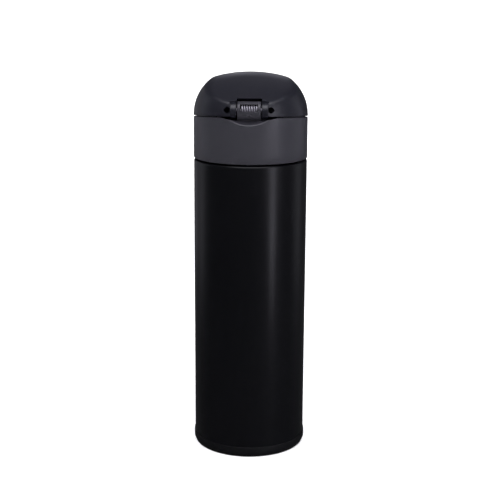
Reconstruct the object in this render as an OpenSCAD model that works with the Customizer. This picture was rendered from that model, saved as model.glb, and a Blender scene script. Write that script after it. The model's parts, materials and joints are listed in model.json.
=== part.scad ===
// One-touch vacuum flask: a double-walled steel bottle with a screw-in stopper and a sprung flip lid.
// The origin is the centre of the base where it rests, +Z points up and the lid's hinge is on the -Y side.

/* [Bottle] */
// Radius of the steel body
body_r = 33; // [31:0.5:36]
// Height of the body's shoulder
shoulder_z = 173.4; // [150:0.1:190]
// Wall thickness of the outer bottle
shell_t = 0.6; // [0.5:0.1:0.8]
// Outer radius of the threaded neck
neck_r = 26.6; // [26:0.1:26.8]
// Height of the neck above the shoulder
neck_h = 8.1; // [8:0.1:8.4]
// Outer radius of the inner bottle
liner_r = 30; // [28.5:0.5:30]
// Wall thickness of the inner bottle
liner_t = 0.5; // [0.4:0.1:0.6]

/* [Base cover] */
// How far the base cover stands out from the body
base_lip = 0.5; // [0.3:0.1:1]
// Height of the base cover
base_h = 6.2; // [6:0.1:7]

/* [Thread] */
// Rise of the stopper in one turn
pitch = 4; // [3.6:0.1:4]
// Turns of ridge on the neck and in the stopper
thread_turns = 1.25; // [0.75:0.25:1.25]

/* [Stopper] */
// Gap between the shoulder and the collar
collar_gap = 1; // [0.6:0.1:1.4]
// Outer radius of the collar beyond the body's radius
collar_lip = 0.1; // [0:0.1:0.3]
// Wall thickness of the collar
collar_t = 2.1; // [1.8:0.1:2.2]
// Height of the collar above its lower edge, on the axis
collar_h = 23.75; // [23:0.25:26]
// Slope of the seam between collar and lid, rising to the hinge
seam_tilt = 4.7; // [3:0.1:5]
// Gap at the seam
seam_gap = 0.6; // [0.4:0.1:0.8]

/* [Mouthpiece] */
// Outer radius of the drinking mouthpiece
spout_r = 15.5; // [14.5:0.5:15.5]
// Wall thickness of the mouthpiece
spout_t = 1.5; // [1.2:0.1:1.8]
// Height of the mouthpiece's rim above the hinge axis
spout_rise = 2; // [1:0.5:2.5]

/* [Lid] */
// Height of the whole flask
flask_h = 223.7; // [222:0.1:226]
// Radius of the arc down the lid's side
side_arc = 26; // [24:1:28]
// Radius of the arc over the lid's crown
crown_arc = 72; // [66:1:80]
// Radius where side and crown meet
corner_arc = 7; // [5:1:9]
// Wall thickness of the lid
lid_t = 2.2; // [1.8:0.1:2.4]
// Slope of the flat at the back of the lid
facet_tilt = 24.1; // [22:0.1:26]

/* [Hinge] */
// Distance of the hinge axis behind the flask's axis
hinge_y = 27.5; // [27:0.1:27.8]
// Height of the hinge axis above the seam's height on the flask's axis
hinge_rise = 5.85; // [5.5:0.05:6.2]
// Radius of the middle knuckle, on the collar
knuckle_r = 5.1; // [4.9:0.1:5.2]
// Half of the middle knuckle's width
knuckle_x = 6.6; // [6.2:0.1:6.8]
// Radius of the lid's knuckles
lid_knuckle_r = 4.4; // [4.2:0.1:4.6]
// Half width of the scoop below the hinge
scoop_x = 15.75; // [15:0.25:16.5]
// Radius of the hinge pin
pin_r = 1.5; // [1.25:0.05:1.6]

/* [Button] */
// Width of the push button
button_w = 14; // [12:0.5:16]
// Height of the push button
button_h = 7; // [6:0.1:7.2]
// Travel of the push button
button_travel = 1.8; // [1.5:0.1:2]

/* [Hidden] */
$fn = 96;

BLACK = [0.06, 0.06, 0.07];
DARK = [0.16, 0.16, 0.18];
GREY = [0.24, 0.24, 0.27];
STEEL = [0.72, 0.72, 0.74];
SILICONE = [0.62, 0.63, 0.65];

eps = 0.01;
facet_back = 18;                         // a point on the flat at the back of the lid: behind the axis
facet_drop = 9.6;                        // and below the crown
fit = 0.06;                              // running clearance of the hinge pin
big = 200;                               // larger than the flask

neck_top = shoulder_z + neck_h;
neck_in = neck_r - shell_t;              // inside of the outer bottle's neck
mouth_r = neck_in - 0.5 - liner_t;       // inside of the inner bottle's neck
thread_depth = 1.4;
thread_low = shoulder_z + 2;             // start of the neck's ridge
sleeve_in = neck_r + thread_depth + 0.5; // inside of the stopper's threaded sleeve

foot_r = body_r - 1.3;                   // body's stepped-in foot, inside the base cover
collar_r = body_r + collar_lip;
collar_in = collar_r - collar_t;
collar_z = shoulder_z + collar_gap;
seam_z = collar_z + collar_h;            // height of the seam on the axis
plate_t = 2;                             // thickness of the stopper's lower plate
plate_top = neck_top + 0.8 + plate_t;
deck_drop = 1;                           // top of the collar's deck below the collar's rim
deck_t = 1.6;
sleeve_out = collar_in - 0.2;

hinge_z = seam_z + hinge_rise;
pocket_r = knuckle_r + 1;                // swept clear round the hinge axis
pocket_end_r = 4.2;
notch_r = knuckle_r + 1.8;
block_x = scoop_x + 2.05;                // half width of the solid stretch behind the hinge
pin_half = 10.3;
lid_knuckle_x = 10.6;                    // outer face of the lid's knuckles
spring_cavity_r = 4.25;
spring_cavity_x = 5.3;
spring_r = 3.5;                          // to the middle of the lid spring's wire
groove_r = lid_knuckle_r + 1.15;         // relief round the lid's knuckles, out through its surface
skirt_x = 12.4;                          // the lid's skirt is cut away this far either side of the middle
recess_r = [3.4, 3.2, 1.2];              // recess at the pin's ends: its radii
recess_x = [10.65, 12.3, 15];            // and where they are along the axis

spout_top = hinge_z + spout_rise;
spout_in = spout_r - spout_t;

button_z = plate_top + 0.5 + button_h / 2;
button_face = collar_r + 0.25;           // front of the button, just proud of the collar
hook_y = 24.9;                           // inner face of the catch's stem
hook_t = 2;
hook_w = 8;
nose = 1.4;                              // reach of the catch's nose
bar_y = hook_y - nose - 0.2;             // front of the bar that the nose would catch under
bar_t = 1.8;
nose_z = plate_top + 2.2;                // underside of the nose
nose_h = 2;

// Point on a circle in the profile plane
function on_arc(c, r, a) = [c[0] + r * cos(a), c[1] + r * sin(a)];

// Stretch of arc as points, ends included
function arc(c, r, a0, a1, n = 8) = [for (i = [0 : n]) on_arc(c, r, a0 + (a1 - a0) * i / n)];

// Outer of the two points where circles about p and q meet
function meet(p, r, q, s) =
    let (v = q - p, d = norm(v), u = v / d, a = (r * r - s * s + d * d) / (2 * d), h = sqrt(r * r - a * a))
    p + a * u + h * [-u[1], u[0]];

// Direction in degrees from p to q
function heading(p, q) = atan2(q[1] - p[1], q[0] - p[0]);

// Tube swept along a helix: section points are [outwards, upwards] from the line at radius r
module helix(section, r, rise, turns, per_turn = 24) {
    steps = round(turns * per_turn);
    m = len(section);
    points = [for (i = [0 : steps], s = section)
        let (a = 360 * turns * i / steps)
        [(r + s[0]) * cos(a), (r + s[0]) * sin(a), rise * turns * i / steps + s[1]]];
    sides = [for (i = [0 : steps - 1], j = [0 : m - 1])
        [i * m + j, i * m + (j + 1) % m, (i + 1) * m + (j + 1) % m, (i + 1) * m + j]];
    first = [for (j = [m - 1 : -1 : 0]) j];
    last = [for (j = [0 : m - 1]) steps * m + j];
    polyhedron(points, concat([first], sides, [last]), convexity = 8);
}

// Round wire's section
function wire(r, n = 8) = [for (i = [0 : n - 1]) [r * cos(360 * i / n), -r * sin(360 * i / n)]];

// Thread ridge on a wall of radius r, standing out (dir 1) or in (dir -1), climbing in short level arcs
module thread(r, dir, turns, per_turn = 20) {
    step = 360 / per_turn;
    for (i = [0 : turns * per_turn - 1])
        translate([0, 0, pitch * i / per_turn]) rotate([0, 0, i * step]) rotate_extrude(angle = step + 0.2)
            polygon([[r - dir * 0.3, -0.9], [r + dir * thread_depth, -0.45],
                     [r + dir * thread_depth, 0.45], [r - dir * 0.3, 0.9]]);
}

// Ring with a rectangular section
module ring(r_out, r_in, z0, z1) {
    difference() {
        translate([0, 0, z0]) cylinder(r = r_out, h = z1 - z0);
        translate([0, 0, z0 - 1]) cylinder(r = r_in, h = z1 - z0 + 2);
    }
}

// Cylinder along X about the hinge axis, from x0 to x1
module on_hinge(r, x0, x1) {
    translate([x0, -hinge_y, hinge_z]) rotate([0, 90, 0]) cylinder(r = r, h = x1 - x0);
}

// Cone along X about the hinge axis
module hinge_cone(r0, r1, x0, x1) {
    translate([x0, -hinge_y, hinge_z]) rotate([0, 90, 0]) cylinder(r1 = r0, r2 = r1, h = x1 - x0);
}

// Everything above the seam's plane, raised by dz
module above_seam(dz) {
    translate([0, 0, seam_z + dz]) rotate([-seam_tilt, 0, 0]) translate([-big / 2, -big / 2, 0]) cube(big);
}

// Everything below the seam's plane, raised by dz
module below_seam(dz) {
    translate([0, 0, seam_z + dz]) rotate([-seam_tilt, 0, 0]) translate([-big / 2, -big / 2, -big]) cube(big);
}

// Everything above the flat at the back of the lid, moved in by t
module above_facet(t) {
    translate([0, -facet_back, flask_h - facet_drop]) rotate([facet_tilt, 0, 0])
        translate([-big / 2, -big, -t]) cube([big, 2 * big, big]);
}

// Solid of the lid's dome, its wall moved in by t
module dome(t) {
    side_c = [collar_r - side_arc, seam_z + 0.85];
    crown_c = [0, flask_h - crown_arc];
    corner_c = meet(side_c, side_arc - corner_arc, crown_c, crown_arc - corner_arc);
    low = heading(side_c, corner_c);
    high = heading(crown_c, corner_c);
    difference() {
        rotate_extrude() polygon(concat(
            [[0, seam_z - 8], [collar_r - t, seam_z - 8]],
            arc(side_c, side_arc - t, 0, low, 12),
            arc(corner_c, corner_arc - t, low + 3, high - 3, 4),
            arc(crown_c, crown_arc - t, high, 90, 8)));
        above_facet(t);
    }
}

module outer_shell() {
    t = shell_t;
    color(BLACK) union() {
        rotate_extrude() polygon(concat(
            [[foot_r - t, 1.6], [foot_r, 1.6], [foot_r, 4.4], [body_r, 5.9]],
            arc([body_r - 1.2, shoulder_z - 1.2], 1.2, 0, 90, 6),
            [[neck_r, shoulder_z], [neck_r, neck_top], [neck_in, neck_top]],
            [[neck_in, shoulder_z - t]],
            arc([body_r - 1.2, shoulder_z - 1.2], 1.2 - t, 90, 0, 6),
            [[body_r - t, 6.1], [foot_r - t, 4.6]]));
        translate([0, 0, thread_low]) thread(neck_r, 1, thread_turns);
    }
}

module inner_liner() {
    t = liner_t;
    bend = 6;
    low = 9;                             // underside of the inner bottle
    top = shoulder_z - 5;                // where the wall turns in to the neck
    neck = mouth_r + t;
    color(STEEL) rotate_extrude() polygon(concat(
        [[0, low]],
        arc([liner_r - bend, low + bend], bend, -90, 0, 8),
        arc([liner_r - 3, top - 3], 3, 0, 90, 6),
        [[neck, top], [neck, neck_top - t], [neck_in - eps, neck_top - t], [neck_in - eps, neck_top]],
        [[mouth_r, neck_top], [mouth_r, top - t]],
        arc([liner_r - 3, top - 3], 3 - t, 90, 0, 6),
        arc([liner_r - bend, low + bend], bend - t, 0, -90, 8),
        [[0, low + t]]));
}

module radiation_foil() {
    color([0.72, 0.45, 0.3]) ring(liner_r + 0.35, liner_r + 0.1, 18, shoulder_z - 12);
}

module getter() {
    color([0.5, 0.5, 0.52]) translate([12, 0, 7.3]) cylinder(r = 3.5, h = 1.7);
}

module outer_bottom() {
    r = foot_r - shell_t;
    color(STEEL) difference() {
        union() {
            translate([0, 0, 3]) cylinder(r = r, h = shell_t);
            ring(r, r - shell_t, 1.6, 3.2);
        }
        translate([0, 0, 2]) cylinder(r = 1.2, h = 3);
    }
}

module vacuum_seal() {
    color([0.35, 0.36, 0.4]) union() {
        translate([0, 0, 2.6]) cylinder(r = 1.2, h = 1);
        translate([0, 0, 2.2]) cylinder(r = 3, h = 0.8);
    }
}

module base_cap() {
    out = body_r + base_lip;
    in = foot_r;
    color(BLACK) difference() {
        rotate_extrude() polygon(concat(
            [[0, 1.2], [20.5, 1.2], [20.5, 0.2]],
            arc([out - 2.2, 2.4], 2.2, -90, 0, 8),
            [[out, base_h - 0.4], [out - 0.3, base_h], [body_r, base_h], [body_r, 5.9]],
            [[in, 4.4], [in, 1.6], [in - 2, 1.6], [in - 2, 2.1], [0, 2.1]]));
        ring(28.5, 22.5, 0, 1);
    }
}

module base_pad() {
    color(DARK) ring(28.5, 22.5, 0, 1);
}

module mouth_gasket() {
    color(SILICONE) rotate_extrude() polygon([
        [mouth_r - 0.2, neck_top - 2.4], [mouth_r - 0.9, neck_top - 2.4], [mouth_r - 0.9, neck_top + 0.7],
        [neck_r + 0.6, neck_top + 0.7], [neck_r + 0.6, neck_top + 0.1], [mouth_r - 0.2, neck_top + 0.1]]);
}

module stopper_body() {
    lead = 1.2;                          // how far the stopper's ridge starts along the neck's
    color(DARK) union() {
        difference() {
            translate([0, 0, collar_z + 0.4]) cylinder(r = sleeve_out, h = plate_top - collar_z - 0.4);
            translate([0, 0, collar_z - 1]) cylinder(r = sleeve_in, h = plate_top - plate_t - collar_z + 1);
            translate([0, 0, plate_top - plate_t - 1]) cylinder(r = spout_in, h = plate_t + 2);
        }
        ring(mouth_r - 1.1, spout_in, neck_top - 4, plate_top - plate_t + eps);
        translate([0, 0, thread_low - pitch / 2 + lead])
            rotate([0, 0, 360 * lead / pitch]) thread(sleeve_in, -1, thread_turns - 0.25);
        translate([-3.5, spout_r + 0.6, plate_top - eps]) cube([7, 1.1, 5.6]);
    }
}

module collar() {
    dish_slope = 25;                     // fall of the scoop's floor towards the rim
    dish_depth = 4.35;                   // at the rim, in the middle
    dish_r = (pow(scoop_x, 2) + pow(dish_depth, 2)) / (2 * dish_depth);
    color(GREY) difference() {
        union() {
            difference() {
                translate([0, 0, collar_z]) cylinder(r = collar_r, h = 40);
                translate([0, 0, collar_z - 1]) cylinder(r = collar_in, h = 60);
                above_seam(-seam_gap / 2);
            }
            difference() {
                translate([0, 0, plate_top + 1]) cylinder(r = collar_in + eps, h = 40);
                above_seam(-seam_gap / 2 - deck_drop);
                difference() {
                    below_seam(-seam_gap / 2 - deck_drop - deck_t);
                    translate([-block_x, -collar_r, seam_z - 7]) cube([2 * block_x, 11.6, 30]);
                }
            }
        }
        // swept room for the lid's knuckles on both sides of the middle one, narrowing past their ends
        for (side = [0, 1]) mirror([side, 0, 0]) {
            on_hinge(pocket_r, knuckle_x, lid_knuckle_x + 0.3);
            hinge_cone(pocket_r, pocket_end_r, lid_knuckle_x + 0.3, scoop_x);
        }
        // scoop: a shallow round dish that falls outwards to the rim
        translate([0, -collar_r, seam_z - seam_gap / 2 + collar_r * tan(seam_tilt) - dish_depth])
            rotate([-90 + dish_slope, 0, 0]) translate([0, -dish_r, -12]) cylinder(r = dish_r, h = 26);
        // openings for the mouthpiece, the lid's catch, the button and the lock
        translate([0, 0, plate_top]) cylinder(r = spout_r + 0.5, h = 40);
        translate([-hook_w / 2 - 0.6, hook_y - nose - 0.6, plate_top])
            cube([hook_w + 1.2, hook_t + nose + 2.6, 20]);
        translate([-button_w / 2 - 0.15, 20, button_z - button_h / 2 - 0.15])
            cube([button_w + 0.3, 20, button_h + 0.3]);
        rotate([0, 0, 90 - 43]) rotate_extrude(angle = 18)
            translate([collar_in - 1, button_z - 1.6]) square([5, 3.2]);
    }
    color(GREY) middle_knuckle();
}

// Middle knuckle on its web, with the spring's chamber, its window, the pin's bore and two sighting pips
module middle_knuckle() {
    web_back = 1;
    difference() {
        union() {
            on_hinge(knuckle_r, -knuckle_x, knuckle_x);
            translate([-knuckle_x, -hinge_y - web_back, seam_z - 1.5])
                cube([2 * knuckle_x, knuckle_r + web_back - 0.8, hinge_rise + 1.5]);
            for (x = [-0.5, 0.9])
                translate([x, -hinge_y - 4.2, hinge_z - 2.6]) rotate([90, 0, 0]) cylinder(r = 0.55, h = 0.5);
        }
        on_hinge(spring_cavity_r, -spring_cavity_x, spring_cavity_x);
        on_hinge(pin_r, -knuckle_x - 1, knuckle_x + 1);
        translate([0, -hinge_y, hinge_z]) rotate([-25, 0, 0]) translate([-5, -8, -2.1]) cube([10, 6, 4.2]);
    }
}

module spout() {
    lip = spout_t / 2;
    color(DARK) rotate_extrude() polygon(concat(
        [[spout_in, plate_top + 0.8], [spout_r, plate_top + 0.8]],
        arc([spout_in + lip, spout_top - lip], lip, 0, 180, 8)));
}

module spout_gasket() {
    color(SILICONE) ring(spout_r - 0.1, spout_in + 0.2, plate_top, plate_top + 0.8);
}

module push_button() {
    arm = 1.6;
    back = bar_y - bar_t;
    z0 = button_z - button_h / 2;
    color(DARK) union() {
        intersection() {
            difference() {
                translate([0, 0, z0]) cylinder(r = button_face, h = button_h);
                translate([0, 0, z0 - 1]) cylinder(r = button_face - 2.7, h = button_h + 2);
            }
            translate([-button_w / 2, 20, z0]) cube([button_w, 20, button_h]);
        }
        for (side = [-1, 1])
            translate([side > 0 ? button_w / 2 - arm : -button_w / 2, back, nose_z + nose_h + 0.3])
                cube([arm, 31 - back, 1.6]);
        translate([-button_w / 2, back, nose_z + nose_h + 0.3]) cube([button_w, bar_t, 1.6]);
        translate([-3, back, nose_z - 0.5]) cube([6, 0.9, nose_h + 1]);
    }
}

module button_spring() {
    seat = spout_r + 1.75;
    len = bar_y - bar_t - seat - 0.05;
    turns = 4;
    color(STEEL) translate([0, seat + 0.25, nose_z + nose_h - 0.4]) rotate([-90, 0, 0])
        helix(wire(0.2, 6), 1.7, (len - 0.5) / turns, turns, 16);
}

module lock_slider() {
    color(DARK) rotate([0, 0, 90 - 42]) union() {
        rotate_extrude(angle = 10)
            translate([collar_in - 1.5, button_z - 1.4]) square([collar_t + 1.75, 2.8]);
        rotate([0, 0, -2]) rotate_extrude(angle = 14)
            translate([collar_in - 1.9, button_z - 2.2]) square([1.7, 4.4]);
    }
}

module hinge_room() {
    // what the lid gives up near the hinge: everything behind and below its knuckles, the middle notch,
    // a groove behind the knuckles and the dished recesses at the pin's ends
    for (side = [-1, 1]) {
        translate([side > 0 ? 0 : -skirt_x, 0, 0]) difference() {
            translate([0, -big / 2 - hinge_y - 2.1, hinge_z - big / 2]) cube([skirt_x, big / 2, big / 2]);
            on_hinge(lid_knuckle_r, -1, skirt_x + 1);
        }
        translate([side > 0 ? 0 : -skirt_x, 0, 0]) difference() {
            translate([0, -hinge_y - 3, hinge_z - 20]) cube([skirt_x, 7.5, 18]);
            on_hinge(lid_knuckle_r, -1, skirt_x + 1);
        }
    }
    on_hinge(notch_r, -knuckle_x - 0.5, knuckle_x + 0.5);
    translate([-knuckle_x - 0.5, -hinge_y - 10, hinge_z - 20]) cube([2 * knuckle_x + 1, 10 + notch_r, 20]);
    translate([-knuckle_x - 0.5, -hinge_y - 10, hinge_z - 1])
        cube([2 * knuckle_x + 1, 10, 1 + notch_r * 0.8]);
    on_hinge(pin_r + fit, -block_x, block_x);
    for (side = [0, 1]) mirror([side, 0, 0]) {
        for (i = [0, 1])
            hinge_cone(recess_r[i], recess_r[i + 1], recess_x[i], recess_x[i + 1]);
        difference() {
            on_hinge(groove_r, knuckle_x + 0.5, lid_knuckle_x + 0.3);
            on_hinge(lid_knuckle_r, knuckle_x, lid_knuckle_x);
            translate([0, -hinge_y, hinge_z - big / 2]) cube(big);
        }
    }
}

module lid_cover() {
    color(BLACK) difference() {
        intersection() {
            dome(0);
            above_seam(seam_gap / 2);
        }
        difference() {
            dome(lid_t);
            translate([-block_x, -40, seam_z - 10]) cube([2 * block_x, 40 - hinge_y + 8.2, 20.5]);
        }
        hinge_room();
    }
    color(BLACK) for (side = [0, 1]) mirror([side, 0, 0]) difference() {
        on_hinge(lid_knuckle_r, knuckle_x + 0.5, lid_knuckle_x);
        on_hinge(pin_r + fit, 0, block_x);
    }
}

module lid_liner() {
    well_r = 18;                         // inside of the well round the mouthpiece
    roof = spout_top + 3.2;
    flange_t = 1.6;
    lip_down = 0.5;                      // how far the liner's lip reaches into the collar
    color(DARK) difference() {
        union() {
            intersection() {
                translate([0, 0, seam_z - 10]) cylinder(r = collar_r - lid_t - 0.5, h = 30);
                above_seam(seam_gap / 2);
                below_seam(seam_gap / 2 + flange_t);
            }
            intersection() {
                ring(collar_in - 0.6, collar_in - 1.8, seam_z - 10, seam_z + 10);
                above_seam(-seam_gap / 2 - lip_down);
                below_seam(seam_gap / 2 + eps);
            }
            intersection() {
                translate([0, 0, seam_z - 10]) cylinder(r = well_r + 1.4, h = roof + 1.4 - seam_z + 10);
                above_seam(seam_gap / 2);
            }
            translate([-hook_w / 2, hook_y, nose_z]) cube([hook_w, hook_t, seam_z - nose_z + 1.5]);
            hull() {
                translate([-hook_w / 2, hook_y - nose, nose_z + nose_h - 0.7]) cube([hook_w, nose + 1, 0.7]);
                translate([-hook_w / 2, hook_y - 0.2, nose_z]) cube([hook_w, 1, 0.5]);
            }
        }
        ring(well_r, 9, seam_z - 20, roof);
        translate([0, 0, seam_z - 20]) cylinder(r = 10, h = spout_top - 0.6 - seam_z + 20);
        translate([0, 0, spout_top - 2]) cylinder(r = 3.1, h = 4);
        translate([-block_x - 0.2, -45, seam_z - 10]) cube([2 * block_x + 0.4, 45 - hinge_y + 8.4, 40]);
    }
}

module lid_gasket() {
    rim = spout_top + 0.15;
    color(SILICONE) rotate_extrude() polygon([
        [9.6, rim], [spout_in - 1.4, rim], [spout_in - 1.1, rim - 1.8], [spout_in - 0.6, rim - 1.6],
        [spout_in - 0.5, rim], [spout_r + 0.9, rim], [spout_r + 1.1, rim + 0.7], [spout_r + 0.6, rim + 1.6],
        [12, rim + 1.6], [12, rim + 3], [10.2, rim + 3], [10.2, rim + 0.8], [9.6, rim + 0.8]]);
}

module gasket_holder() {
    color(DARK) union() {
        translate([0, 0, spout_top - 2.4]) cylinder(r = 9.5, h = 1.7);
        translate([0, 0, spout_top - 1]) cylinder(r = 3, h = 2.9);
    }
}

module hinge_pin() {
    color(STEEL) on_hinge(pin_r, -pin_half, pin_half);
}

module hinge_spring() {
    wire_r = 0.5;
    turns = 7;
    step = 1.33;
    color(STEEL) translate([-turns * step / 2, -hinge_y, hinge_z]) rotate([0, 90, 0])
        helix(wire(wire_r), spring_r, step, turns, 20);
}

outer_shell();
inner_liner();
radiation_foil();
getter();
outer_bottom();
vacuum_seal();
base_cap();
base_pad();
mouth_gasket();
stopper_body();
collar();
spout();
spout_gasket();
push_button();
button_spring();
lock_slider();
lid_cover();
lid_liner();
lid_gasket();
gasket_holder();
hinge_pin();
hinge_spring();
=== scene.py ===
import json
import math

import bmesh
import bpy
import numpy as np
from mathutils import Matrix, Vector

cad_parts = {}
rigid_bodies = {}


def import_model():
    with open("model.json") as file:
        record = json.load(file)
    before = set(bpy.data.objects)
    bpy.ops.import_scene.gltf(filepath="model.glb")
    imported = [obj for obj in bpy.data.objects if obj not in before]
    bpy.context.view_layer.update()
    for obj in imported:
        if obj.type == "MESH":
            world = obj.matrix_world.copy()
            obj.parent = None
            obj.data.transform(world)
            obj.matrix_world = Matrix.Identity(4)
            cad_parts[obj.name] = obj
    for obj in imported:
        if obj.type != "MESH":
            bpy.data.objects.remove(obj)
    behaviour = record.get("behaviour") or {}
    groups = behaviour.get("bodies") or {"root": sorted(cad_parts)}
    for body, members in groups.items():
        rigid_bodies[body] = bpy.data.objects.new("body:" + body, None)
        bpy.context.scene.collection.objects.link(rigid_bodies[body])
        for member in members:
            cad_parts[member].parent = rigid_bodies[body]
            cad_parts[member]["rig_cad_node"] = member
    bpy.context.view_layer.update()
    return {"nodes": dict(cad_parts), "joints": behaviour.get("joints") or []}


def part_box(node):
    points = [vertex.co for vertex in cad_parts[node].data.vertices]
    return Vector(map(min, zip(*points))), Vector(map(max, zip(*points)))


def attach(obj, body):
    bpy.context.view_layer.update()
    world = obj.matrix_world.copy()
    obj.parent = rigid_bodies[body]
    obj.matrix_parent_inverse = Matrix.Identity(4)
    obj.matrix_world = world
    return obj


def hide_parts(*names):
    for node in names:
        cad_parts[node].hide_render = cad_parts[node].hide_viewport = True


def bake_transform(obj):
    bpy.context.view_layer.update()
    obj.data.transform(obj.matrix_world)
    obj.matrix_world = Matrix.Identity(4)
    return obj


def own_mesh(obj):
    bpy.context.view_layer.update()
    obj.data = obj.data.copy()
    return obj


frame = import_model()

# Everything below is in millimetres, in the row frame, and becomes metres when a mesh is made.
MM = 1000.0


def span(node):
    """Lowest and highest corner of a CAD node, in millimetres."""
    low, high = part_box(node)
    return low * MM, high * MM


JOINTS = {j["name"]: j for j in frame["joints"]}
SHELL_LO, SHELL_HI = span("outer_shell")
BASE_HI = span("base_cap")[1]
COLLAR_LO, COLLAR_HI = span("collar")
SPOUT_LO, SPOUT_HI = span("spout")
BUTTON_LO, BUTTON_HI = span("push_button")

HINGE = Vector(JOINTS["lid_hinge"]["pos_m"]) * MM
BODY_R = SHELL_HI.x
BASE_R = BASE_HI.x
COLLAR_R = COLLAR_HI.x
COLLAR_IN = COLLAR_R - 2.1
NECK_TOP = SHELL_HI.z
SHOULDER = COLLAR_LO.z - 1.0
NECK_R = 26.6

# seam between collar and lid: a plane that rises towards the hinge
SEAM_Z = HINGE.z - 5.85
SEAM_SLOPE = math.tan(math.radians(4.7))
SEAM_HALF = 0.3
DECK_DROP = 1.0
DECK_T = 1.6
SPOUT_R = SPOUT_HI.x
PLATE_TOP = SPOUT_LO.z - 0.8

# hinge
KNUCKLE_R = 5.1
KNUCKLE_X = 6.6
LID_KNUCKLE_R = 4.4
LID_KNUCKLE_X = 10.6
SCOOP_X = 15.75
BLOCK_X = 17.8
POCKET_R = 6.1
POCKET_END_R = 4.2
NOTCH_R = 6.9
PIN_R = 1.5
GROOVE_R = LID_KNUCKLE_R + 1.0
DISH = ((3.4, 10.65), (3.2, 12.3), (1.2, 15.0))       # recess at the pin's ends, radius and distance
SKIRT_X = 12.4               # the lid's skirt is cut away this far either side
SPRING_CAVITY_R = 4.25
SPRING_CAVITY_X = 5.3
SCOOP_DEPTH = 4.35
SCOOP_SLOPE = math.radians(25)
SCOOP_R = (SCOOP_X ** 2 + SCOOP_DEPTH ** 2) / (2 * SCOOP_DEPTH)

# springs: radius to the middle of the wire, and of the wire
HINGE_COIL_R = 3.5
HINGE_WIRE_R = 0.57
HINGE_COIL_STEP = 1.33
HINGE_COIL_TURNS = 7.0
BUTTON_COIL_R = 1.7
BUTTON_WIRE_R = 0.2
BUTTON_COIL_TURNS = 4

AROUND = 192                 # segments round the flask
HINGE_AROUND = 96            # and round the hinge


# ---------------------------------------------------------------- meshes

def make(name, verts, faces, body, replaces=(), smooth=40):
    """A mesh piece from millimetre points, riding a body, with sharp edges kept over the smooth angle."""
    mesh = bpy.data.meshes.new(name)
    mesh.from_pydata([tuple(c / MM for c in v) for v in verts], [], [tuple(f) for f in faces])
    mesh.validate()
    obj = bpy.data.objects.new(name, mesh)
    bpy.context.scene.collection.objects.link(obj)
    tidy_normals(obj)
    shade(obj, smooth)
    if body:
        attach(obj, body)
    if replaces:
        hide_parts(*replaces)
    return obj


def tidy_normals(obj):
    """Turns every face of a closed mesh outwards."""
    bm = bmesh.new()
    bm.from_mesh(obj.data)
    bmesh.ops.recalc_face_normals(bm, faces=bm.faces)
    bm.to_mesh(obj.data)
    bm.free()


def shade(obj, angle):
    """Smooth shading, with edges sharper than the angle kept hard."""
    mesh = obj.data
    mesh.polygons.foreach_set("use_smooth", [True] * len(mesh.polygons))
    mesh.set_sharp_from_angle(angle=math.radians(angle))


def fillet(corners, steps=6):
    """A closed outline from (r, z, radius) corners, each rounded by its radius."""
    out = []
    n = len(corners)
    for i, (x, z, rad) in enumerate(corners):
        p = Vector((x, z))
        a = (Vector(corners[i - 1][:2]) - p)
        b = (Vector(corners[(i + 1) % n][:2]) - p)
        if rad <= 0:
            out.append((x, z))
            continue
        half = a.angle(b) / 2
        cut = min(rad / math.tan(half), a.length * 0.49, b.length * 0.49)
        p0 = p + a.normalized() * cut
        p1 = p + b.normalized() * cut
        for k in range(steps + 1):
            t = k / steps
            q = p0 * (1 - t) ** 2 + p * 2 * t * (1 - t) + p1 * t ** 2
            out.append((q.x, q.y))
    return out


def lathe(name, outline, body, replaces=()):
    """A turned piece from a closed outline of (r, z) points. Points on the axis become one vertex."""
    verts, faces, rows = [], [], []
    for r, z in outline:
        if r < 1e-6:
            rows.append([len(verts)] * AROUND)
            verts.append((0, 0, z))
        else:
            rows.append(list(range(len(verts), len(verts) + AROUND)))
            for k in range(AROUND):
                a = 2 * math.pi * k / AROUND
                verts.append((r * math.cos(a), r * math.sin(a), z))
    add_strips(faces, rows, AROUND)
    return make(name, verts, faces, body, replaces)


def add_strips(faces, rows, around):
    """Faces between neighbouring rows of vertices, the last row joined to the first."""
    for i, row in enumerate(rows):
        nxt = rows[(i + 1) % len(rows)]
        for k in range(around):
            k2 = (k + 1) % around
            corner = []
            for v in (row[k], row[k2], nxt[k2], nxt[k]):
                if v not in corner:
                    corner.append(v)
            if len(corner) > 2:
                faces.append(corner)


def rings(name, stack, body):
    """A closed skin through rings of points, the last ring joined to the first."""
    around = len(stack[0])
    verts = [tuple(p) for ring in stack for p in ring]
    rows = [list(range(i * around, (i + 1) * around)) for i in range(len(stack))]
    faces = []
    add_strips(faces, rows, around)
    return make(name, verts, faces, body)


def helix(name, centre, axis_turn, mean_r, wire_r, step, turns, sides=14):
    """A coil of round wire about a line. axis_turn turns local Z onto the line."""
    per_turn = 48
    n = int(per_turn * turns)
    path = []
    for i in range(n + 1):
        a = 2 * math.pi * turns * i / n
        path.append(Vector((mean_r * math.cos(a), mean_r * math.sin(a), step * turns * (i / n - 0.5))))
    return tube(name, [axis_turn @ p + Vector(centre) for p in path], wire_r, sides)


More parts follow.
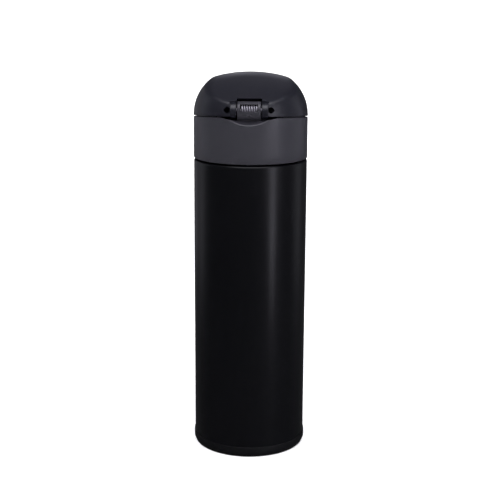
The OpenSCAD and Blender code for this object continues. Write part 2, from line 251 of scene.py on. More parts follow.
def tube(name, path, radius, sides):
    """A round wire along a path, with closed, slightly rounded ends."""
    verts, faces = [], []
    up = Vector((0.31, 0.2, 1)).normalized()
    last = len(path) - 1
    ends = [(0, 0.6), (0, 1)] + [(i, 1) for i in range(1, last)] + [(last, 1), (last, 0.6)]
    for j, (i, share) in enumerate(ends):
        ahead = (path[min(i + 1, len(path) - 1)] - path[max(i - 1, 0)]).normalized()
        side = ahead.cross(up).normalized()
        up = side.cross(ahead).normalized()
        at = path[i] + ahead * (radius * 0.35 * (-1 if j == 0 else 1 if j == len(ends) - 1 else 0))
        for k in range(sides):
            a = 2 * math.pi * k / sides
            verts.append(at + (side * math.cos(a) + up * math.sin(a)) * radius * share)
    for j in range(len(ends) - 1):
        for k in range(sides):
            k2 = (k + 1) % sides
            faces.append((j * sides + k, j * sides + k2, (j + 1) * sides + k2, (j + 1) * sides + k))
    faces.append(tuple(range(sides))[::-1])
    faces.append(tuple(range((len(ends) - 1) * sides, len(ends) * sides)))
    return make(name, verts, faces, None)


def cutter_box(low, high, turn=None, pivot=(0, 0, 0)):
    """A box to cut or join with, made in place and deleted after use."""
    x0, y0, z0 = low
    x1, y1, z1 = high
    pts = [Vector((x, y, z)) for x in (x0, x1) for y in (y0, y1) for z in (z0, z1)]
    if turn is not None:
        pts = [turn @ (p - Vector(pivot)) + Vector(pivot) for p in pts]
    quads = [(0, 1, 3, 2), (4, 6, 7, 5), (0, 4, 5, 1), (2, 3, 7, 6), (0, 2, 6, 4), (1, 5, 7, 3)]
    return make("cutter", pts, quads, None)


def along_x(outline):
    """A turned solid about the hinge axis, from a closed outline of (r, x) points."""
    verts, faces, rows = [], [], []
    for r, x in outline:
        if r < 1e-6:
            rows.append([len(verts)] * HINGE_AROUND)
            verts.append((x, HINGE.y, HINGE.z))
        else:
            rows.append(list(range(len(verts), len(verts) + HINGE_AROUND)))
            for k in range(HINGE_AROUND):
                a = 2 * math.pi * k / HINGE_AROUND
                verts.append((x, HINGE.y + r * math.cos(a), HINGE.z + r * math.sin(a)))
    add_strips(faces, rows, HINGE_AROUND)
    return make("cutter", verts, faces, None)


def barrel(r, x0, x1, edge=0.0):
    """A cylinder about the hinge axis, with rounded ends if edge is given."""
    return along_x(fillet([(0, x0, 0), (r, x0, edge), (r, x1, edge), (0, x1, 0)], 4))


def combine(obj, other, how):
    """Joins or cuts obj with a helper solid, which is deleted."""
    mod = obj.modifiers.new("bool", "BOOLEAN")
    mod.operation = how
    mod.solver = "EXACT"
    mod.object = other
    bpy.context.view_layer.update()
    depsgraph = bpy.context.evaluated_depsgraph_get()
    mesh = bpy.data.meshes.new_from_object(obj.evaluated_get(depsgraph))
    obj.modifiers.remove(mod)
    old = obj.data
    obj.data = mesh
    mesh.name = obj.name
    bpy.data.meshes.remove(old)
    bpy.data.objects.remove(other)
    return obj


def cut(obj, *others):
    for other in others:
        combine(obj, other, "DIFFERENCE")
    return obj


def join(obj, *others):
    for other in others:
        combine(obj, other, "UNION")
    return obj


def weld(obj, other):
    """Adds another closed skin to the piece, overlapping it, and deletes the helper."""
    bm = bmesh.new()
    bm.from_mesh(obj.data)
    bm.from_mesh(other.data)
    bm.to_mesh(obj.data)
    bm.free()
    bpy.data.objects.remove(other)
    return obj


def prism(profile, x0, x1):
    """A solid of constant section along X, from (y, z) points measured from the hinge axis."""
    n = len(profile)
    verts = [(x, HINGE.y + y, HINGE.z + z) for x in (x0, x1) for y, z in profile]
    faces = [(k, (k + 1) % n, n + (k + 1) % n, n + k) for k in range(n)]
    return make("cutter", verts, faces + [tuple(range(n)), tuple(range(n, 2 * n))[::-1]], None)


def round_hinge(r, a0, a1, steps=24):
    """Points on a circle about the hinge axis, angles in degrees from +Y towards +Z."""
    angles = [math.radians(a0 + (a1 - a0) * k / steps) for k in range(steps + 1)]
    return [(r * math.cos(a), r * math.sin(a)) for a in angles]


def bevel(obj, width, segments=2, angle=35):
    """Rounds the piece's sharp edges."""
    mod = obj.modifiers.new("edges", "BEVEL")
    mod.width = width / MM
    mod.segments = segments
    mod.limit_method = "ANGLE"
    mod.angle_limit = math.radians(angle)
    mod.use_clamp_overlap = True
    mod.harden_normals = False
    mod.miter_outer = "MITER_ARC"
    return obj


# ---------------------------------------------------------------- materials

def principled(name, rough, metallic=0.0, specular=0.5, coat=0.0, coat_rough=0.1, ior=1.5):
    """A new material with a principled shader, its whole-surface numbers set on the sockets."""
    mat = bpy.data.materials.new(name)
    mat.use_nodes = True
    nodes, links = mat.node_tree.nodes, mat.node_tree.links
    shader = nodes["Principled BSDF"]
    shader.inputs["Roughness"].default_value = rough
    shader.inputs["Metallic"].default_value = metallic
    shader.inputs["Specular IOR Level"].default_value = specular
    shader.inputs["Coat Weight"].default_value = coat
    shader.inputs["Coat Roughness"].default_value = coat_rough
    shader.inputs["IOR"].default_value = ior
    where = nodes.new("ShaderNodeTexCoord")
    return mat, nodes, links, shader, where.outputs["Object"]


def noise(nodes, links, at, scale, detail=2.0, stretch=(1, 1, 1)):
    """Noise in object space. Scale is in cycles a metre."""
    mapping = nodes.new("ShaderNodeMapping")
    mapping.inputs["Scale"].default_value = stretch
    links.new(at, mapping.inputs["Vector"])
    tex = nodes.new("ShaderNodeTexNoise")
    tex.inputs["Scale"].default_value = scale
    tex.inputs["Detail"].default_value = detail
    links.new(mapping.outputs["Vector"], tex.inputs["Vector"])
    return tex.outputs["Fac"]


def spread(nodes, links, value, low, high, from_low=0.3, from_high=0.7):
    """Maps a 0 to 1 pattern to a range of values."""
    node = nodes.new("ShaderNodeMapRange")
    node.inputs["From Min"].default_value = from_low
    node.inputs["From Max"].default_value = from_high
    node.inputs["To Min"].default_value = low
    node.inputs["To Max"].default_value = high
    links.new(value, node.inputs["Value"])
    return node.outputs["Result"]


def tint(nodes, links, value, dark, light):
    """Mixes two colours by a pattern."""
    mix = nodes.new("ShaderNodeMix")
    mix.data_type = "RGBA"
    mix.inputs["A"].default_value = (*dark, 1)
    mix.inputs["B"].default_value = (*light, 1)
    links.new(value, mix.inputs["Factor"])
    return mix.outputs["Result"]


def bump(nodes, links, value, distance, strength, under=None):
    """Bump from a pattern, over an earlier normal if given. Distance is in metres."""
    node = nodes.new("ShaderNodeBump")
    node.inputs["Distance"].default_value = distance
    node.inputs["Strength"].default_value = strength
    links.new(value, node.inputs["Height"])
    if under is not None:
        links.new(under, node.inputs["Normal"])
    return node.outputs["Normal"]


def moulded(name, dark, light, rough, grain=0.25, specular=0.5, grain_scale=3200):
    """Moulded plastic: fine spark-eroded grain, faint mottling, and wear that polishes the grain unevenly."""
    mat, nodes, links, shader, at = principled(name, rough, specular=specular)
    fine = noise(nodes, links, at, grain_scale, 3)
    cloud = noise(nodes, links, at, 42, 4)
    links.new(tint(nodes, links, cloud, dark, light), shader.inputs["Base Color"])
    links.new(spread(nodes, links, cloud, rough - 0.05, rough + 0.06), shader.inputs["Roughness"])
    links.new(bump(nodes, links, fine, 0.00004, grain), shader.inputs["Normal"])
    return mat


def coated_steel():
    """Satin black coating over steel: fine orange peel, with a slow change in gloss down the body."""
    mat, nodes, links, shader, at = principled("coated_steel", 0.36, specular=0.22, coat=0.08,
                                               coat_rough=0.22)
    peel = noise(nodes, links, at, 1500, 2)
    slow = noise(nodes, links, at, 18, 3, (1, 1, 0.35))
    speck = noise(nodes, links, at, 5200, 1)
    links.new(tint(nodes, links, slow, (0.0012, 0.0013, 0.0022), (0.0020, 0.0021, 0.0032)),
              shader.inputs["Base Color"])
    links.new(spread(nodes, links, slow, 0.33, 0.40), shader.inputs["Roughness"])
    soft = bump(nodes, links, peel, 0.00003, 0.22)
    links.new(bump(nodes, links, speck, 0.00001, 0.12, soft), shader.inputs["Normal"])
    return mat


def steel(name, colour, rough, lines=(1, 1, 60), scale=240):
    """Bare metal with the fine lines of polishing or drawing."""
    mat, nodes, links, shader, at = principled(name, rough, metallic=1.0)
    brushed = noise(nodes, links, at, scale, 3, lines)
    cloud = noise(nodes, links, at, 60, 3)
    dark = tuple(c * 0.86 for c in colour)
    links.new(tint(nodes, links, cloud, dark, colour), shader.inputs["Base Color"])
    links.new(spread(nodes, links, brushed, rough - 0.06, rough + 0.1), shader.inputs["Roughness"])
    links.new(bump(nodes, links, brushed, 0.00002, 0.25), shader.inputs["Normal"])
    return mat


def copper_foil():
    """Thin copper foil, crinkled where it was wrapped."""
    mat, nodes, links, shader, at = principled("copper_foil", 0.3, metallic=1.0)
    crease = noise(nodes, links, at, 160, 6)
    links.new(tint(nodes, links, crease, (0.62, 0.27, 0.14), (0.86, 0.46, 0.29)), shader.inputs["Base Color"])
    links.new(spread(nodes, links, crease, 0.22, 0.4), shader.inputs["Roughness"])
    links.new(bump(nodes, links, crease, 0.0003, 0.6), shader.inputs["Normal"])
    return mat


def silicone(name, dark, light):
    """Soft moulded silicone with a dusty bloom."""
    mat, nodes, links, shader, at = principled(name, 0.55, specular=0.35)
    shader.inputs["Sheen Weight"].default_value = 0.25
    shader.inputs["Sheen Roughness"].default_value = 0.6
    shader.inputs["Subsurface Weight"].default_value = 0.08
    shader.inputs["Subsurface Radius"].default_value = (0.002, 0.002, 0.002)
    shader.inputs["Subsurface Scale"].default_value = 0.5
    dust = noise(nodes, links, at, 900, 4)
    cloud = noise(nodes, links, at, 70, 2)
    links.new(tint(nodes, links, cloud, dark, light), shader.inputs["Base Color"])
    links.new(spread(nodes, links, dust, 0.48, 0.66), shader.inputs["Roughness"])
    links.new(bump(nodes, links, dust, 0.00003, 0.3), shader.inputs["Normal"])
    return mat


def sintered():
    """Grey pressed metal powder and brazing metal."""
    mat, nodes, links, shader, at = principled("sintered_metal", 0.5, metallic=0.9)
    grit = noise(nodes, links, at, 2500, 4)
    links.new(tint(nodes, links, grit, (0.2, 0.2, 0.21), (0.42, 0.42, 0.44)), shader.inputs["Base Color"])
    links.new(spread(nodes, links, grit, 0.4, 0.65), shader.inputs["Roughness"])
    links.new(bump(nodes, links, grit, 0.0001, 0.5), shader.inputs["Normal"])
    return mat


def rubber():
    """Matt black rubber with a fine moulded texture."""
    mat, nodes, links, shader, at = principled("pad_rubber", 0.75, specular=0.3)
    grit = noise(nodes, links, at, 1800, 3)
    colour = tint(nodes, links, grit, (0.018, 0.018, 0.02), (0.035, 0.035, 0.038))
    links.new(colour, shader.inputs["Base Color"])
    links.new(spread(nodes, links, grit, 0.68, 0.85), shader.inputs["Roughness"])
    links.new(bump(nodes, links, grit, 0.00008, 0.5), shader.inputs["Normal"])
    return mat


COATING = coated_steel()
LID_PLASTIC = moulded("lid_plastic", (0.006, 0.0062, 0.0108), (0.0082, 0.0084, 0.0135), 0.40, 0.2, 0.42)
COLLAR_PLASTIC = moulded("collar_plastic", (0.02, 0.0195, 0.0255), (0.0245, 0.0238, 0.0305),
                         0.42, 0.22, 0.42)
BASE_PLASTIC = moulded("base_plastic", (0.002, 0.0021, 0.003), (0.003, 0.0031, 0.0042), 0.5, 0.3, 0.25)
INNER_PLASTIC = moulded("inner_plastic", (0.014, 0.014, 0.016), (0.019, 0.019, 0.021), 0.34, 0.12, 0.5, 4200)
BUTTON_PLASTIC = moulded("button_plastic", (0.03, 0.03, 0.035), (0.037, 0.037, 0.043), 0.36, 0.15, 0.5)
BARE_STEEL = steel("bare_steel", (0.62, 0.62, 0.64), 0.24)
SPRING_STEEL = steel("spring_steel", (0.36, 0.35, 0.39), 0.5, (1, 1, 1), 900)
FOIL = copper_foil()
SINTERED = sintered()
SEAL_SILICONE = silicone("seal_silicone", (0.36, 0.37, 0.39), (0.46, 0.47, 0.49))
PAD_RUBBER = rubber()


def paint(obj, mat):
    obj.data.materials.clear()
    obj.data.materials.append(mat)


# ---------------------------------------------------------------- the bottle

def body_shell():
    """Outer bottle: coated body, rounded shoulder, and the neck with its rolled thread."""
    t = 0.6
    step_r = BODY_R - 1.3
    outline = fillet([
        (step_r - t, SHELL_LO.z, 0), (step_r, SHELL_LO.z, 0.1), (step_r, 4.4, 0.5), (BODY_R, 5.9, 0.4),
        (BODY_R, SHOULDER, 1.3), (NECK_R, SHOULDER, 0.5), (NECK_R, NECK_TOP, 0.15),
        (NECK_R - t, NECK_TOP, 0.15), (NECK_R - t, SHOULDER - t, 0.5),
        (BODY_R - t, SHOULDER - t, 0.8), (BODY_R - t, 6.1, 0.5), (step_r - t, 4.6, 0.5)])
    shell = lathe("bottle_shell", outline, None)
    pitch, turns, depth, n = 4.0, 1.25, 1.4, 120
    stack = []
    for i in range(n + 1):
        a = 2 * math.pi * turns * i / n
        fade = min(1.0, i / 10, (n - i) / 10)
        z = SHOULDER + 2.0 + pitch * turns * i / n
        profile = [(-0.3, -0.9), (depth * fade, -0.45), (depth * fade, 0.45), (-0.3, 0.9)]
        stack.append([((NECK_R + o) * math.cos(a), (NECK_R + o) * math.sin(a), z + h) for o, h in profile])
    verts = [p for ring in stack for p in ring]
    faces = []
    for i in range(n):
        for k in range(4):
            faces.append((i * 4 + k, i * 4 + (k + 1) % 4, (i + 1) * 4 + (k + 1) % 4, (i + 1) * 4 + k))
    faces.append((0, 1, 2, 3))
    faces.append(tuple(n * 4 + k for k in (3, 2, 1, 0)))
    join(shell, make("cutter", verts, faces, None))
    shade(shell, 40)
    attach(shell, "bottle")
    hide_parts("outer_shell")
    paint(shell, COATING)
    return shell


def base_cover():
    """Base cover: rounded foot, bevelled top edge, and the groove that holds the pad."""
    out, inner = BASE_R, BODY_R - 1.3
    outline = fillet([
        (0, 1.2, 0), (20.5, 1.2, 0.3), (20.5, 0.2, 0.35), (22.5, 0.2, 0.1), (22.5, 1.0, 0.1),
        (28.5, 1.0, 0.1), (28.5, 0.2, 0.1), (out - 1.0, 0.2, 0.5), (out, 2.6, 1.6), (out, BASE_HI.z, 0.45),
        (BODY_R + 0.04, BASE_HI.z, 0.1), (BODY_R + 0.04, 5.9, 0), (inner, 4.4, 0), (inner, 1.6, 0.1),
        (inner - 2, 1.6, 0.1), (inner - 2, 2.1, 0.1), (0, 2.1, 0)])
    cover = lathe("base_cover", outline, "bottle", ["base_cap"])
    paint(cover, BASE_PLASTIC)


def base_ring_pad():
    """Non-slip ring with shallow concentric ribs underneath."""
    corners = [(28.4, 0.95, 0.1), (22.6, 0.95, 0.1), (22.6, 0.0, 0.25)]
    for i in range(4):
        r = 23.6 + 1.2 * i
        corners += [(r, 0.0, 0.1), (r + 0.2, 0.3, 0.1), (r + 0.5, 0.3, 0.1), (r + 0.7, 0.0, 0.1)]
    corners.append((28.4, 0.0, 0.25))
    pad = lathe("foot_ring", fillet(corners, 3), "bottle", ["base_pad"])
    paint(pad, PAD_RUBBER)


# ---------------------------------------------------------------- the collar

def seam(y, lift=0.0):
    """Height of the seam's plane over a point."""
    return SEAM_Z - y * SEAM_SLOPE + lift


def scoop_floor(x, y):
    """Height of the round dish under the hinge, which falls outwards to the rim."""
    c, s = math.cos(SCOOP_SLOPE), math.sin(SCOOP_SLOPE)
    up = SCOOP_R - math.sqrt(max(0.0, SCOOP_R ** 2 - x * x))
    along = (y + COLLAR_R + s * up) / c
    return seam(-COLLAR_R, -SEAM_HALF) - SCOOP_DEPTH + s * along + c * up


def smooth_min(a, b, k):
    h = max(0.0, min(1.0, 0.5 + 0.5 * (b - a) / k))
    return b + (a - b) * h - k * h * (1 - h)


def collar_ring():
    """Collar: outer wall with the scoop in its rim, a sunken deck, the hinge pocket and a knuckle."""
    low, out, inner = COLLAR_LO.z, COLLAR_R, COLLAR_IN
    around = 288
    hole = SPOUT_R + 0.5

    def ring_at(r, height):
        pts = []
        for k in range(around):
            a = 2 * math.pi * k / around
            x, y = r * math.cos(a), r * math.sin(a)
            pts.append((x, y, height(x, y)))
        return pts

    def rim(x, y):
        return smooth_min(seam(y, -SEAM_HALF), scoop_floor(x, y), 0.5)

    def deck(x, y):
        plain = seam(y, -SEAM_HALF - DECK_DROP)
        if abs(x) < BLOCK_X and y < -20:
            return min(plain, scoop_floor(x, y))
        return plain

    def under(x, y):
        return seam(y, -SEAM_HALF - DECK_DROP - DECK_T)

    stack = [
        ring_at(inner, lambda x, y: low + 0.15),
        ring_at(inner + 0.15, lambda x, y: low),
        ring_at(out - 0.4, lambda x, y: low),
        ring_at(out - 0.12, lambda x, y: low + 0.12),
        ring_at(out, lambda x, y: low + 0.4),
    ]
    for share in (0.25, 0.5, 0.75):
        stack.append(ring_at(out, lambda x, y, s=share: low + 0.4 + (rim(x, y) - low - 1.2) * s))
    stack += [
        ring_at(out, lambda x, y: rim(x, y) - 0.5),
        ring_at(out - 0.04, lambda x, y: rim(x, y) - 0.28),
        ring_at(out - 0.16, lambda x, y: rim(x, y) - 0.1),
        ring_at(out - 0.36, rim),
        ring_at(out - 1.0, rim),
        ring_at(inner + 0.25, rim),
        ring_at(inner + 0.08, lambda x, y: max(deck(x, y), rim(x, y) - 0.12)),
        ring_at(inner, lambda x, y: min(deck(x, y) + 0.2, rim(x, y) - 0.05)),
        ring_at(inner - 0.2, deck),
    ]
    for r in (29.6, 28.2, 26.5, 24.5, 22.0, 19.0):
        stack.append(ring_at(r, deck))
    stack += [
        ring_at(hole + 0.35, deck),
        ring_at(hole + 0.1, lambda x, y: deck(x, y) - 0.12),
        ring_at(hole, lambda x, y: deck(x, y) - 0.4),
        ring_at(hole, lambda x, y: under(x, y) - 0.3),
    ]
    for r in (19.0, 24.0, 28.0):
        stack.append(ring_at(r, lambda x, y: under(x, y) - (4.0 if abs(x) < BLOCK_X and y < -19 else 0.0)))
    stack += [
        ring_at(inner - 0.01, lambda x, y: under(x, y) - (4.0 if abs(x) < BLOCK_X and y < -19 else 0.0)),
        ring_at(inner, lambda x, y: under(x, y) - 4.6),
    ]
    collar = rings("collar_ring", stack, None)
    for side in (-1, 1):
        a, b, c = side * KNUCKLE_X, side * (LID_KNUCKLE_X + 0.3), side * SCOOP_X
        cut(collar, along_x([(0, a), (POCKET_R, a), (POCKET_R, b), (POCKET_END_R, c), (0, c)]))
    cut(collar,
        cutter_box((-4.6, 22.9, PLATE_TOP + 0.5), (4.6, 29.5, SEAM_Z + 3)),
        cutter_box((-7.15, 20, BUTTON_LO.z - 0.15), (7.15, 40, BUTTON_HI.z + 0.15)),
        lock_slot())
    weld(collar, middle_knuckle())
    shade(collar, 32)
    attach(collar, "stopper")
    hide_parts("collar")
    paint(collar, COLLAR_PLASTIC)
    return collar


def middle_knuckle():
    """Knuckle on its web: softened ends, the spring's chamber and window, the pin's bore and two pips."""
    turn = Matrix.Rotation(math.radians(-25), 3, "X")
    knuckle = cut(
        barrel(KNUCKLE_R, -KNUCKLE_X, KNUCKLE_X, 0.5),
        barrel(SPRING_CAVITY_R, -SPRING_CAVITY_X, SPRING_CAVITY_X),
        cutter_box((-5, HINGE.y - 8, HINGE.z - 2.1), (5, HINGE.y - 2, HINGE.z + 2.1), turn, HINGE),
        barrel(PIN_R, -KNUCKLE_X - 1, KNUCKLE_X + 1))
    web_low = SEAM_Z - 1.5 - HINGE.z
    web = [(-1, web_low), (4.1, web_low)] + round_hinge(4.6, -27, -102.6)
    weld(knuckle, prism(web, -KNUCKLE_X, KNUCKLE_X))
    for x in (-0.5, 0.9):
        weld(knuckle, pip(x, HINGE.y - 4.7, HINGE.z - 2.6))
    return knuckle


def pip(x, y, z):
    """A small round boss whose face looks to the back."""
    verts, faces, rows = [], [], []
    for r, d in ((0.0, 0.5), (0.55, 0.5), (0.55, -0.1), (0.4, -0.25), (0.0, -0.3)):
        rows.append(list(range(len(verts), len(verts) + 24)) if r else [len(verts)] * 24)
        for k in range(24 if r else 1):
            a = math.pi * k / 12
            verts.append((x + r * math.cos(a), y + d, z + r * math.sin(a)))
    add_strips(faces, rows, 24)
    return make("cutter", verts, faces, None)


def sector(r0, r1, a0, a1, z0, z1, steps=16):
    """A curved block between two radii, two angles in degrees and two heights."""
    verts, faces = [], []
    for i in range(steps + 1):
        a = math.radians(a0 + (a1 - a0) * i / steps)
        for r, z in ((r0, z0), (r1, z0), (r1, z1), (r0, z1)):
            verts.append((r * math.cos(a), r * math.sin(a), z))
    for i in range(steps):
        for k in range(4):
            faces.append((i * 4 + k, i * 4 + (k + 1) % 4, (i + 1) * 4 + (k + 1) % 4, (i + 1) * 4 + k))
    faces.append((0, 1, 2, 3))
    faces.append(tuple(steps * 4 + k for k in (3, 2, 1, 0)))
    return make("cutter", verts, faces, None)


def lock_slot():
    middle = (BUTTON_LO.z + BUTTON_HI.z) / 2
    return sector(COLLAR_IN - 1, COLLAR_R + 4, 47, 65, middle - 1.6, middle + 1.6)


# ---------------------------------------------------------------- the lid

def dome_profile(shrink):
    """Radius of the lid's dome at a height, its wall moved in by shrink, as arrays of heights and radii."""
    side_arc, crown_arc, corner_arc = 26.0, 72.0, 7.0
    side_c = np.array([COLLAR_R - side_arc, SEAM_Z + 0.85])
    crown_c = np.array([0.0, TOP_AXIS - crown_arc])
    r, s = side_arc - corner_arc, crown_arc - corner_arc
    v = crown_c - side_c
    d = np.hypot(*v)
    u = v / d
    a = (r * r - s * s + d * d) / (2 * d)
    h = math.sqrt(r * r - a * a)
    corner_c = side_c + a * u + h * np.array([-u[1], u[0]])
    low = math.atan2(*(corner_c - side_c)[::-1])
    high = math.atan2(*(corner_c - crown_c)[::-1])
    parts = [np.array([[COLLAR_R - shrink, SEAM_Z - 9.0]])]
    for c, rad, a0, a1 in ((side_c, side_arc, 0.0, low), (corner_c, corner_arc, low, high),
                           (crown_c, crown_arc, high, math.pi / 2)):
        t = np.linspace(a0, a1, 60)
        parts.append(np.stack([c[0] + (rad - shrink) * np.cos(t), c[1] + (rad - shrink) * np.sin(t)], axis=1))
    pts = np.concatenate(parts)
    return pts[:, 1], np.maximum(pts[:, 0], 0)


TOP_AXIS = 223.7
FACET_TILT = math.radians(24.1)
FACET_AT = Vector((0, -18, TOP_AXIS - 9.6))
FACET_ROUND = 260.0                      # the flat at the back is very slightly crowned


def lid_surface(rows, around, shrink, lift):
    """Rings of the lid's surface, from the seam's plane up to the crown, as seen from a point on the axis."""
    origin = np.array([0.0, 0.0, SEAM_Z + lift])
    slope = math.atan(SEAM_SLOPE)
    e1 = np.array([1.0, 0, 0])
    e2 = np.array([0, math.cos(slope), -math.sin(slope)])
    e3 = np.array([0, math.sin(slope), math.cos(slope)])
    el = np.linspace(0, math.pi / 2, rows + 1)
    az = np.linspace(0, 2 * math.pi, around, endpoint=False)
    el, az = np.meshgrid(el, az, indexing="ij")
    d = (np.cos(el)[..., None] * (np.cos(az)[..., None] * e1 + np.sin(az)[..., None] * e2)
         + np.sin(el)[..., None] * e3)
    heights, radii = dome_profile(shrink)
    near, far = np.zeros(el.shape), np.full(el.shape, 60.0)
    for _ in range(40):
        mid = (near + far) / 2
        p = origin + d * mid[..., None]
        inside = (np.hypot(p[..., 0], p[..., 1]) < np.interp(p[..., 2], heights, radii, right=-1.0))
        near = np.where(inside, mid, near)
        far = np.where(inside, far, mid)
    dome = near
    normal = np.array([0, -math.sin(FACET_TILT), math.cos(FACET_TILT)])
    centre = np.array(FACET_AT) - normal * FACET_ROUND
    to = origin - centre
    b = (d * to).sum(-1)
    c = to @ to - (FACET_ROUND - shrink) ** 2
    facet = -b + np.sqrt(b * b - c)
    ahead = np.clip(((origin + d * dome[..., None])[..., 1] + 30) / 22, 0, 1)
    k = 1.0 + 2.0 * ahead * ahead * (3 - 2 * ahead)     # crisp by the hinge, soft over the crest
    h = np.clip(0.5 + 0.5 * (facet - dome) / k, 0, 1)
    reach = facet + (dome - facet) * h - k * h * (1 - h)
    return origin + d * reach[..., None]


def lid_shell():
    """Lid: a closed shell with a softly blended flat at the back, made solid round the hinge for the cuts
    there.
    """
    rows, around = 72, 240
    outer = lid_surface(rows, around, 0.0, SEAM_HALF)
    inner = lid_surface(rows // 2, around, 2.2, SEAM_HALF)
    slope_n = Vector((0, math.sin(math.atan(SEAM_SLOPE)), math.cos(math.atan(SEAM_SLOPE))))
    verts, rows_ids = [], []

    def add_ring(points):
        rows_ids.append(list(range(len(verts), len(verts) + around)))
        verts.extend(tuple(p) for p in points)

    def add_pole(point):
        rows_ids.append([len(verts)] * around)
        verts.append(tuple(point))

    foot = outer[0]
    radial = foot - np.array([0, 0, SEAM_Z + SEAM_HALF])
    radial = radial / np.linalg.norm(radial, axis=1)[:, None]
    n = np.array(slope_n)
    add_pole(outer[-1][0])
    for i in range(rows - 1, 1, -1):
        add_ring(outer[i])
    round_r = 0.2
    for a in (0, 30, 60, 90):
        t = math.radians(a)
        add_ring(foot - radial * round_r * (1 - math.cos(t)) + n * round_r * (1 - math.sin(t)))
    add_ring(inner[0] + radial * 0.2)
    for i in range(0, rows // 2):
        add_ring(inner[i])
    add_pole(inner[-1][0])
    faces = []
    for i in range(len(rows_ids) - 1):
        add_strips(faces, [rows_ids[i], rows_ids[i + 1]], around)
    seen, unique = set(), []
    for f in faces:
        key = tuple(sorted(f))
        if key not in seen:
            seen.add(key)
            unique.append(f)
    lid = make("lid_shell", verts, unique, None)
    block = cutter_box((-BLOCK_X, -40, SEAM_Z - 1), (BLOCK_X, HINGE.y + 8.2, SEAM_Z + 10.5))
    inside = lid_solid(0.6)
    combine(block, inside, "INTERSECT")
    join(lid, block)
    return lid


def lid_solid(shrink):
    """The lid's outer form as a plain solid, a little smaller, to trim helper blocks with."""
    rows, around = 36, 120
    surf = lid_surface(rows, around, shrink, SEAM_HALF)
    verts = [tuple(surf[-1][0])]
    ids = [[0] * around]
    for i in range(rows - 1, -1, -1):
        ids.append(list(range(len(verts), len(verts) + around)))
        verts.extend(tuple(p) for p in surf[i])
    ids.append([len(verts)] * around)
    verts.append((0, 0, SEAM_Z + SEAM_HALF))
    faces = []
    for i in range(len(ids) - 1):
        for k in range(around):
            k2 = (k + 1) % around
            corner = []
            for v in (ids[i][k], ids[i][k2], ids[i + 1][k2], ids[i + 1][k]):
                if v not in corner:
                    corner.append(v)
            if len(corner) > 2:
                faces.append(corner)
    return make("cutter", verts, faces, None)


def lid_hinge_cuts(lid):
    """Cuts the room round the hinge, then adds the lid's two knuckles as barrels."""
    notch_x, high = KNUCKLE_X + 0.5, NOTCH_R * 0.8
    below = [(-40, 0)] + round_hinge(LID_KNUCKLE_R, 180, 333) + [(4.5, -2), (4.5, -20), (-40, -20)]
    notch = [(NOTCH_R, -20)] + round_hinge(NOTCH_R, 0, 126.9) + [(-12, high), (-12, -20)]
    cut(lid, prism(below, -SKIRT_X, SKIRT_X), prism(notch, -notch_x, notch_x))
    groove = round_hinge(GROOVE_R, 93, 184) + round_hinge(LID_KNUCKLE_R - 0.1, 184, 93)
    x0, x1 = notch_x - 0.4, LID_KNUCKLE_X + 0.3
    dish = [(0, DISH[0][1]), *DISH, (0, DISH[-1][1])]
    cut(lid, weld(prism(groove, -x1, -x0), prism(groove, x0, x1)),
        weld(along_x([(r, -x) for r, x in dish]), along_x(dish)),
        weld(barrel(PIN_R + 0.3, -x1 - 0.2, -x0), barrel(PIN_R + 0.3, x0, x1 + 0.2)))
    for ends in ((-LID_KNUCKLE_X, -notch_x), (notch_x, LID_KNUCKLE_X)):
        sleeve = [(PIN_R + 0.06, ends[0], 0), (LID_KNUCKLE_R, ends[0], 0.45), (LID_KNUCKLE_R, ends[1], 0.45),
                  (PIN_R + 0.06, ends[1], 0)]
        weld(lid, along_x(fillet(sleeve, 4)))


def lid_cover():
    lid = lid_shell()
    lid_hinge_cuts(lid)
    shade(lid, 32)
    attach(lid, "lid")
    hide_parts("lid_cover")
    paint(lid, LID_PLASTIC)
    return lid


# ---------------------------------------------------------------- the springs

def torsion_spring():
    """Torsion spring: the coil on the hinge pin."""
    turn = Matrix.Rotation(math.radians(90), 3, "Y")
    spring = helix("torsion_spring", HINGE, turn, HINGE_COIL_R, HINGE_WIRE_R, HINGE_COIL_STEP,
                   HINGE_COIL_TURNS)
    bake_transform(spring)
    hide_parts("hinge_spring")
    paint(spring, SPRING_STEEL)


def button_return_spring():
    """Return spring behind the button."""
    low, high = span("button_spring")
    centre = (low + high) / 2
    turn = Matrix.Rotation(math.radians(-90), 3, "X")
    step = (high.y - low.y - 2 * BUTTON_WIRE_R) / BUTTON_COIL_TURNS
    spring = helix("return_spring", centre, turn, BUTTON_COIL_R, BUTTON_WIRE_R, step,
                   BUTTON_COIL_TURNS, sides=10)
    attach(spring, "stopper")
    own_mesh(spring)
    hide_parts("button_spring")
    paint(spring, SPRING_STEEL)


# ---------------------------------------------------------------- CAD nodes that keep their shape

CAD_LOOKS = {
    "inner_liner": BARE_STEEL, "radiation_foil": FOIL, "getter": SINTERED, "outer_bottom": BARE_STEEL,
    "vacuum_seal": SINTERED, "mouth_gasket": SEAL_SILICONE, "stopper_body": INNER_PLASTIC,
    "spout": INNER_PLASTIC, "spout_gasket": SEAL_SILICONE, "push_button": BUTTON_PLASTIC,
    "lock_slider": BUTTON_PLASTIC, "lid_liner": INNER_PLASTIC, "lid_gasket": SEAL_SILICONE,
    "gasket_holder": INNER_PLASTIC, "hinge_pin": SPRING_STEEL,
}


def dress_cad():
    """Materials for the CAD nodes."""
    for name, mat in CAD_LOOKS.items():
        node = frame["nodes"][name]
        node.data.materials.clear()
        node.data.materials.append(mat)
    # the CAD meshes are split at their sharp edges: a bevel acts on the stopper alone, and tears it
    bevel(frame["nodes"]["stopper_body"], 0.1)


# ---------------------------------------------------------------- floor, light and camera

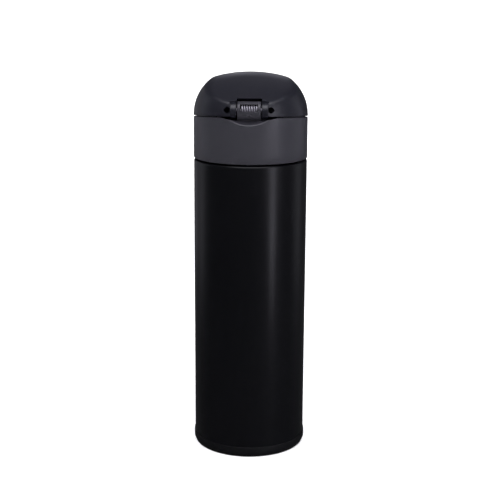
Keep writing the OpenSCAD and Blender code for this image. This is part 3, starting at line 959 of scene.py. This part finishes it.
def stage():
    """A round pale floor that curves up into a pale wall, far away on all sides."""
    around, flat, bend, high = 96, 2.4, 1.0, 3.6
    line = [(0.6, 0.0), (flat, 0.0)]
    line += [(flat + bend * math.sin(t), bend - bend * math.cos(t))
             for t in np.linspace(0.1, math.pi / 2, 14)]
    line += [(flat + bend, high)]
    verts = [(0, 0, 0)]
    for r, z in line:
        verts += [(r * math.cos(2 * math.pi * k / around), r * math.sin(2 * math.pi * k / around), z)
                  for k in range(around)]
    faces = [(0, 1 + k, 1 + (k + 1) % around) for k in range(around)]
    for i in range(len(line) - 1):
        low, up = 1 + i * around, 1 + (i + 1) * around
        for k in range(around):
            k2 = (k + 1) % around
            faces.append((low + k, up + k, up + k2, low + k2))
    mesh = bpy.data.meshes.new("studio_sweep")
    mesh.from_pydata(verts, [], faces)
    mesh.polygons.foreach_set("use_smooth", [True] * len(faces))
    sweep = bpy.data.objects.new("studio_sweep", mesh)
    bpy.context.scene.collection.objects.link(sweep)
    mat, nodes, links, shader, at = principled("studio_paper", 0.9, specular=0.1)
    fibre = noise(nodes, links, at, 3, 2)
    links.new(tint(nodes, links, fibre, (0.90, 0.90, 0.90), (0.92, 0.92, 0.92)), shader.inputs["Base Color"])
    shader.inputs["Emission Color"].default_value = (1, 1, 1, 1)
    shader.inputs["Emission Strength"].default_value = 0.3
    mesh.materials.append(mat)
    sweep.visible_glossy = False         # the floor isn't mirrored in the flask


def area(name, at, aim, size, power, colour=(1, 1, 1)):
    """A soft rectangular light at a place in metres, facing a point."""
    data = bpy.data.lights.new(name, "AREA")
    data.shape = "RECTANGLE"
    data.size, data.size_y = size
    data.energy = power
    data.color = colour
    lamp = bpy.data.objects.new(name, data)
    bpy.context.scene.collection.objects.link(lamp)
    lamp.location = at
    lamp.rotation_euler = (Vector(aim) - Vector(at)).to_track_quat("-Z", "Y").to_euler()
    return lamp


def polar(azimuth, distance, height):
    """A place round the flask: azimuth 0 is in front of the hinge, positive to the right of it."""
    a = math.radians(azimuth)
    return (distance * math.sin(a), -distance * math.cos(a), height)


def lights():
    world = bpy.data.worlds.new("studio")
    world.use_nodes = True
    back = world.node_tree.nodes["Background"]
    back.inputs["Color"].default_value = (0.93, 0.94, 1.0, 1)
    back.inputs["Strength"].default_value = 0.06
    bpy.context.scene.world = world
    area("overhead", (0.0, -0.65, 1.6), (0, 0, 0.1), (1.6, 1.4), 31, (0.95, 0.94, 1.0))
    area("crest", (0.0, 1.5, 0.95), (0, 0, 0.22), (0.5, 0.4), 1.0, (0.90, 0.88, 1.0))
    area("strip_right", polar(47, 1.3, 0.26), (0, 0, 0.12), (0.24, 1.0), 5.0, (0.90, 0.88, 1.0))
    area("strip_front", polar(-142, 1.3, 0.3), (0, 0, 0.12), (0.3, 1.0), 0.4, (0.92, 0.91, 1.0))
    area("rim_left", polar(-112, 1.2, 0.3), (0, 0, 0.1), (0.5, 1.0), 0.9, (0.90, 0.90, 1.0))
    area("rim_right", polar(112, 1.2, 0.3), (0, 0, 0.1), (0.5, 1.0), 0.9, (0.90, 0.90, 1.0))
    area("wall", (0, 1.2, 1.6), (0, 3.3, 0.8), (2.4, 1.2), 60)


CAMERA_D = 653.7
CAMERA_H = 271.9
CAMERA_DOWN = 13.23
CAMERA_AZ = 1.8
CAMERA_ROLL = 0.32
CAMERA_LENS = 81.17


def camera():
    data = bpy.data.cameras.new("camera")
    data.lens = CAMERA_LENS
    data.sensor_width = 36
    data.clip_end = 50
    cam = bpy.data.objects.new("camera", data)
    bpy.context.scene.collection.objects.link(cam)
    a, e = math.radians(CAMERA_AZ), math.radians(CAMERA_DOWN)
    cam.location = (CAMERA_D / MM * math.sin(a), -CAMERA_D / MM * math.cos(a), CAMERA_H / MM)
    look = Vector((-math.sin(a) * math.cos(e), math.cos(a) * math.cos(e), -math.sin(e)))
    turn = look.to_track_quat("-Z", "Y").to_matrix().to_4x4()
    cam.rotation_euler = (turn @ Matrix.Rotation(math.radians(CAMERA_ROLL), 4, "Z")).to_euler()
    bpy.context.scene.camera = cam


bpy.context.scene.view_settings.view_transform = "Standard"
camera()
stage()
lights()
body_shell()
base_cover()
base_ring_pad()
collar_ring()
lid_cover()
torsion_spring()
button_return_spring()
dress_cad()
